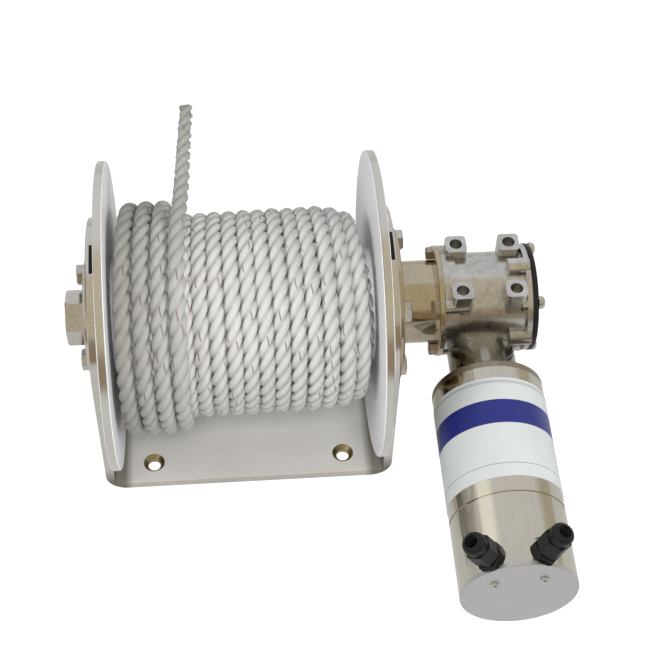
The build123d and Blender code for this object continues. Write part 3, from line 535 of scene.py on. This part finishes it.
# The spline runs inside a winding's points, so they lie further out by this.
OUTSET = 1 / (0.75 + 0.25 * math.cos(math.radians(STEP)))
FOOT = -90  # degrees, underneath, where the layers begin and end
CLIMB = 50  # degrees, in which the rope climbs from one layer to the next
NARROWING, WIDEST = 0.10, 30  # the winding is this share narrower at the back than at WIDEST degrees
END_SINK = 0.0050  # the last turn at the gearbox's end lies this much deeper
CROSSING = (-150, -95)  # degrees, at the back and underneath, where the rope steps to the next turn
HANGING = -37  # degrees; the winding hangs loose on this side and lies close on the other
SLACK_MIDDLE, SLACK_SLOPE = 0.0018, -0.013  # how far it hangs at the middle, and its change per metre of x
SETTLED = [0.0, 0.0, 0.0005, 0.0010]  # how much closer than its layer's radius each layer lies
LEAVES = 75  # degrees, where the free end leaves the drum
TAIL_REACH = 0.1195  # y of the free end's cut
FREE_FROM = 0.04  # y where the free end's lay is FREE_LAY
UP = Vector((0, 0, 1))
rope_white = rope_paint("rope_fibre", (0.455, 0.455, 0.445), (0.565, 0.565, 0.552))
WORN = (0.335, 0.34, 0.33), (0.43, 0.437, 0.425)  # the worn rope's darkest and lightest colours
rope_worn = rope_paint("rope_fibre_worn", *WORN)
rope_free = rope_paint("rope_fibre_free", *WORN, free_end=0.78)


def on_drum(x, radius, degrees):
    """A point of the winding; 0 degrees is the front and 90 the top."""
    turn = math.radians(degrees)
    x *= 1 - NARROWING * (1 - math.cos(turn - math.radians(WIDEST))) / 2
    return Vector((x, -radius * math.cos(turn), AXIS_Z + radius * math.sin(turn)))


def smooth_step(t):
    """From 0 to 1 as t goes from 0 to 1, slow at both ends."""
    t = min(1.0, max(0.0, t))
    return t * t * (3 - 2 * t)


def loose(x, layer, degrees):
    """How much further out than its layer's radius the rope lies here."""
    hang = (SLACK_MIDDLE + SLACK_SLOPE * x) * min(1.0, layer / 2)
    return hang * math.cos(math.radians(degrees - HANGING)) - SETTLED[layer]


def crossed(degrees):
    """How many crossings the rope has made, the one that it is in counted by its share."""
    whole, part = divmod(degrees - CROSSING[0], 360)
    return whole + smooth_step(part / (CROSSING[1] - CROSSING[0]))


def winding(first_x, pitch, layer, lanes, wander, seed, start=FOOT, from_x=None):
    """Points of parallel turns, each of which steps to the next one in the crossing.

    The rope strays from its lane by up to wander, and climbs from the layer below, where that layer ended
    at from_x.
    """
    points = []
    last = 360 * lanes + FOOT
    for degrees in range(start, last + 1, STEP):
        at = Vector((degrees / 140 + seed, seed * 3.1, 0.0))
        x = first_x + pitch * (min(lanes, crossed(degrees)) - 1) + wander * noise.noise(at)
        lift = 0.7 * wander * noise.noise(at + Vector((40.0, 0, 0))) + loose(x, layer, degrees)
        if layer == 2:
            lift -= END_SINK * max(0.0, (x - OUTER_FIRST) / (2 * OUTER_PITCH) + 1) ** 2
        to_climb = 1 - smooth_step((degrees - start) / CLIMB) if layer > 0 else 0.0
        lift -= LAYER * to_climb
        if from_x is not None:
            x += (from_x - x) * to_climb
        spread = 1.0 if degrees in (start, last) else OUTSET
        points.append(on_drum(x, (RADII[layer] + lift) * spread, degrees))
    return points


def route(name, points, resolution):
    """One NURBS spline through its end points, with the others as its control points."""
    curve = bpy.data.curves.new(name, "CURVE")
    curve.dimensions = "3D"
    curve.resolution_u = resolution
    spline = curve.splines.new("NURBS")
    spline.points.add(len(points) - 1)
    for point, place in zip(spline.points, points):
        point.co = (*place, 1)
    spline.order_u = 3
    spline.use_endpoint_u = True
    holder = bpy.data.objects.new(name, curve)
    bpy.context.scene.collection.objects.link(holder)
    bpy.context.view_layer.update()
    mesh = bpy.data.meshes.new_from_object(holder)
    places = [v.co.copy() for v in mesh.vertices]
    bpy.data.objects.remove(holder)
    return places


CROWN = 1 / (2 * STRANDS)  # the map's u on a strand's crown


def laid_rope(name, places, body, paint, phase, lay, sides=24, depth=0.37, thinning=0.0):
    """A three-strand rope swept along the places, with the map "rope" that its paint reads.

    phase is how far the strands have turned at its start, and depth how deep their grooves are. A rope
    with thinning ends free: it turns to the free end's lay, and is this share thinner at its cut.
    Returns the object, the phase at its end and its length.
    """
    turned_by, length = [phase], 0.0
    for a, b in zip(places, places[1:]):
        free = smooth_step(b.y / FREE_FROM) if thinning else 0.0
        length += (b - a).length
        turned_by.append(turned_by[-1] + (b - a).length / (lay + (FREE_LAY - lay) * free))
    vertices = []
    for i, place in enumerate(places):
        before, after = places[max(i - 1, 0)], places[min(i + 1, len(places) - 1)]
        along = (after - before).normalized()
        up = UP if thinning and place.y > 0 else Vector((0, place.y, place.z - AXIS_Z))
        up = (up - along * up.dot(along)).normalized()
        side = along.cross(up)
        turns = turned_by[i]
        thickness = ROPE / 2 * (1 - thinning * max(0.0, place.y) / TAIL_REACH)
        for k in range(sides):
            share = k / sides
            lobe = abs((share * STRANDS) % 1.0 - 0.5) * 2  # 0 on a strand's crown, 1 in the groove
            swell = 1 + 0.02 * noise.noise(Vector((turns * 2.1, share * 5.0, 7.0)))
            radius = thickness * (1.0 - depth * lobe ** 2.1) * swell
            angle = 2 * math.pi * (share + turns)
            vertices.append(place + radius * (math.cos(angle) * up + math.sin(angle) * side))
    faces, corner_maps = [], []
    for i in range(len(places) - 1):
        for k in range(sides):
            n = (k + 1) % sides
            faces.append((i * sides + k, i * sides + n, (i + 1) * sides + n, (i + 1) * sides + k))
            low, high = k / sides, (k + 1) / sides
            corner_maps += [(low, turned_by[i]), (high, turned_by[i]), (high, turned_by[i + 1]),
                            (low, turned_by[i + 1])]
    last = (len(places) - 1) * sides
    for ring, order in ((0, reversed(range(sides))), (last, range(sides))):
        faces.append(tuple(ring + k for k in order))
        corner_maps += [(CROWN, phase)] * sides
    mesh = bpy.data.meshes.new(name)
    mesh.from_pydata(vertices, [], faces)
    layer = mesh.uv_layers.new(name="rope")
    for loop, pair in zip(layer.data, corner_maps):
        loop.uv = pair
    mesh.shade_smooth()
    for polygon in mesh.polygons[-2:]:
        polygon.use_smooth = False
    for edge in mesh.edges:
        rings = {vertex // sides for vertex in edge.vertices}
        edge.use_edge_sharp = rings in ({0}, {len(places) - 1})
    mesh.materials.append(paint)
    piece = bpy.data.objects.new(name, mesh)
    bpy.context.scene.collection.objects.link(piece)
    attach(piece, body)
    return piece, turned_by[-1], length


def declare(piece, places, length, lay, *covered):
    """Hide the CAD nodes that the piece stands for."""
    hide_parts(*covered)
    tuple(places[0])
    [tuple(p) for p in places]


# The first two layers, which the others hide but for their edges, are one cord, and the second starts two
# steps on from where the first ends.
inner_points = winding(INNER_FIRST, -INNER_PITCH, layer=0, lanes=LANES, wander=0.0, seed=1.0)
inner_points += winding(SECOND_FIRST, INNER_PITCH, layer=1, lanes=LANES, wander=0.0, seed=2.0,
                        start=FOOT + 2 * STEP)
inner_places = route("rope_inner_route", inner_points, resolution=2)
inner, _, length = laid_rope("rope_inner_turns", inner_places, "drum", rope_white, phase=0.0, lay=INNER_LAY,
                             sides=9)
declare(inner, inner_places, length, "coiled", "rope_inner_layers")

outer_points = winding(OUTER_FIRST, -OUTER_PITCH, layer=2, lanes=LANES, wander=0.0009, seed=3.0)
outer_places = route("rope_outer_route", outer_points, resolution=8)
outer, _, length = laid_rope("rope_outer_turns", outer_places, "drum", rope_white, phase=0.31, lay=OUTER_LAY)
declare(outer, outer_places, length, "coiled", "rope_outer_layer")

outer_last = OUTER_FIRST - (LANES - 1) * OUTER_PITCH
top_points = winding(TOP_FIRST, TOP_PITCH, layer=3, lanes=TOP_LANES, wander=0.0007, seed=4.0,
                     from_x=outer_last)
top_places = route("rope_top_route", top_points, resolution=10)
top, phase, length = laid_rope("rope_top_turns", top_places, "drum", rope_worn, phase=0.77, lay=TOP_LAY)
declare(top, top_places, length, "coiled", "rope_outer_layer")

# The free end stays with the frame: it branches off the top turns' last lane, lies beside it in a lane
# of its own and leaves from the top, so it looks the same however far the drum has turned.
end_points = []
for degrees in range(CROSSING[0], LEAVES + 1, STEP):
    x = TOP_FIRST + TOP_PITCH * (TOP_LANES - 1 + crossed(degrees))
    fade = (LEAVES - degrees) / (LEAVES - CROSSING[0])
    radius = RADII[3] + loose(x, 3, degrees) * fade
    end_points.append(on_drum(x, radius * (OUTSET if end_points else 1.0), degrees))
tail_z = AXIS_Z + RADII[3]
end_points += [Vector((-0.0412, 0.012, tail_z)), Vector((-0.0374, 0.043, tail_z)),
               Vector((-0.0348, 0.083, tail_z)), Vector((-0.0322, TAIL_REACH, tail_z))]
end_places = route("rope_end_route", end_points, resolution=10)
free_end, _, length = laid_rope("rope_free_end", end_places, "frame", rope_free, phase, lay=TOP_LAY,
                                depth=0.28, thinning=0.14)
declare(free_end, end_places, length, "taut", "rope_tail")

# ---- rubber strips on the tops of the ears ----------------------------------------------------
EAR_RADIUS, STRIP_THICKNESS = 0.0673, 0.0008
STRIP_START, STRIP_END = 77.3, 96.0  # degrees about the drum shaft
STRIP_STEPS = 16
STRIP_FROM = 0.0954  # x where the strips start, at the ears' inner edges


def ear_strip(name, side, strip_to):
    """A thin black strip bent over the ear's round top, out to strip_to on its side of the drum."""
    vertices = []
    for i in range(STRIP_STEPS + 1):
        turn = math.radians(STRIP_START + (STRIP_END - STRIP_START) * i / STRIP_STEPS)
        for x in (STRIP_FROM, strip_to):
            for radius in (EAR_RADIUS, EAR_RADIUS + STRIP_THICKNESS):
                vertices.append((side * x, -radius * math.cos(turn), AXIS_Z + radius * math.sin(turn)))
    faces = [(0, 1, 3, 2), tuple(4 * STRIP_STEPS + k for k in (0, 2, 3, 1))]
    for i in range(STRIP_STEPS):
        for a, b in ((0, 1), (1, 3), (3, 2), (2, 0)):
            faces.append((4 * i + a, 4 * i + 4 + a, 4 * i + 4 + b, 4 * i + b))
    mesh = bpy.data.meshes.new(name)
    mesh.from_pydata(vertices, [], faces)
    mesh.materials.append(rubber_black)
    strip = bpy.data.objects.new(name, mesh)
    bpy.context.scene.collection.objects.link(strip)
    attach(strip, "frame")


ear_strip("left_ear_strip", -1, 0.0984)
ear_strip("right_ear_strip", 1, 0.0996)
